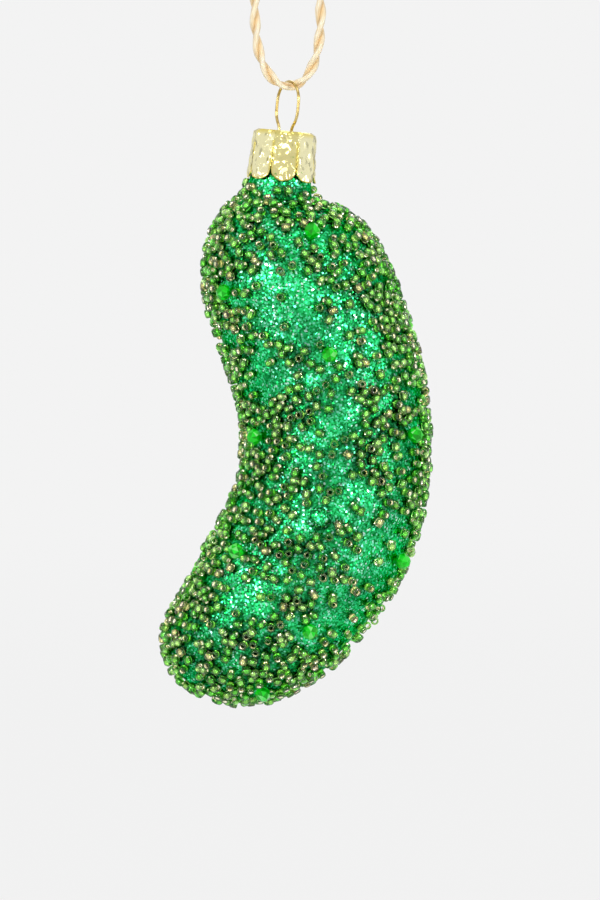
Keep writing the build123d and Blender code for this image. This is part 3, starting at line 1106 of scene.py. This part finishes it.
def darken_round(centres):
    """Dark glue and painted shade on the glitter round the foot of each seed bead, darkest where beads crowd,
    and a painted dark ring round the foot of the wart.
    """
    near = KDTree(len(centres))
    for index, centre in enumerate(centres):
        near.insert(centre, index)
    near.balance()
    glue = []
    for vertex in glitter_glass.data.vertices:
        beside = near.find_range(vertex.co, crowd_reach * MM)
        gap = min((found[2] for found in beside), default=crowd_reach * MM) / MM
        # painted shade: the more beads close by, the darker, as shade falls between crowded beads
        crowd = clamp((len(beside) - 1) / crowd_count, crowd_least)
        shade = clamp((glue_reach - gap) / glue_fade) * crowd
        # painted shade: a dark ring round the wart's foot, so that the wart shows as if shaded
        off_ring = abs((vertex.co - wart_foot).length / MM - wart_radius - wart_ring_out)
        ring = clamp(wart_ring_core - off_ring / wart_ring_width, 0, wart_ring_dark)
        glue.append(max(shade, ring))
    paint(glitter_glass.data, "glue", glue)


seed_centres = strew_seed_beads()
set_accent_beads()
darken_round(seed_centres)

# Studio: pale floor and surroundings, a tall softbox and a small lamp on each side, one above and one behind
backdrop = srgb(243, 243, 243)
world_light = 0.36
floor_drop = 0.06
floor_level = cad_box[0].z - floor_drop
floor_size = 3.0
floor_glow_near = 0.95  # the rest, near the ornament, is lit by the lamps and takes its shadow
floor_near = 0.4
floor_far = 1.3


def seen_directly(tree):
    """1 for rays by which the camera sees a thing, also mirrored or through glass, and 0 for its light."""
    path = put(tree, "ShaderNodeLightPath")
    seen = maths(tree, "MAXIMUM", path.outputs["Is Camera Ray"], path.outputs["Is Glossy Ray"])
    return maths(tree, "MAXIMUM", seen, path.outputs["Is Transmission Ray"])


def studio_world():
    """Even pale surroundings, as seen by the camera and in reflections; weaker as light."""
    world = bpy.data.worlds.new("studio")
    world.use_nodes = True
    scene.world = world
    tree = world.node_tree
    shine = tree.nodes["Background"]
    shine.inputs["Color"].default_value = (*backdrop, 1)
    strength = remap(tree, seen_directly(tree), start=0, end=1, low=world_light, high=1)
    tree.links.new(strength, shine.inputs["Strength"])


def studio_floor():
    """A pale floor under the hanging ornament that shows the camera mostly the backdrop's own colour."""
    corners = [(x * floor_size, y * floor_size, floor_level) for x, y in ((-1, -1), (1, -1), (1, 1), (-1, 1))]
    mesh = bpy.data.meshes.new("floor")
    mesh.from_pydata(corners, [], [(0, 1, 2, 3)])
    floor = bpy.data.objects.new("floor", mesh)
    scene.collection.objects.link(floor)
    material, tree, shader = new_material("pale_floor", {"Base Color": (*backdrop, 1), "Roughness": 0.9})
    place = put(tree, "ShaderNodeTexCoord").outputs["Object"]
    away = put(tree, "ShaderNodeVectorMath", {0: place}, operation="LENGTH").outputs["Value"]
    plain = remap(tree, away, floor_near, floor_far, floor_glow_near, 1, way="SMOOTHSTEP")
    shown = maths(tree, "MULTIPLY", seen_directly(tree), plain)
    glow = put(tree, "ShaderNodeEmission", {"Color": (*backdrop, 1), "Strength": 1.0})
    either = put(tree, "ShaderNodeMixShader", {0: shown, 1: shader.outputs[0], 2: glow.outputs[0]})
    tree.links.new(either.outputs[0], tree.nodes["Material Output"].inputs["Surface"])
    mesh.materials.append(material)


def softbox(name, azimuth, elevation, distance, width, height, power):
    """A rectangular lamp that faces the ornament, by its direction from there."""
    data = bpy.data.lights.new(name, "AREA")
    data.shape = "RECTANGLE"
    data.size = width
    data.size_y = height
    data.energy = power
    lamp = bpy.data.objects.new(name, data)
    turn = math.radians(azimuth)
    rise = math.radians(elevation)
    way = Vector((math.sin(turn) * math.cos(rise), -math.cos(turn) * math.cos(rise), math.sin(rise)))
    lamp.location = picture_middle + way * distance
    lamp.rotation_euler = way.to_track_quat("Z", "Y").to_euler()
    scene.collection.objects.link(lamp)


studio_world()
studio_floor()
softbox("softbox_left", azimuth=-46, elevation=14, distance=0.8, width=0.14, height=0.5, power=1.6)
softbox("lamp_left", azimuth=-42, elevation=22, distance=0.8, width=0.1, height=0.1, power=0.8)
softbox("softbox_right", azimuth=44, elevation=14, distance=0.8, width=0.13, height=0.5, power=1.7)
softbox("lamp_right", azimuth=42, elevation=24, distance=0.8, width=0.1, height=0.1, power=1.0)
softbox("overhead", azimuth=10, elevation=70, distance=0.9, width=0.4, height=0.4, power=1.0)
softbox("softbox_back", azimuth=172, elevation=38, distance=0.9, width=0.4, height=0.4, power=1.1)
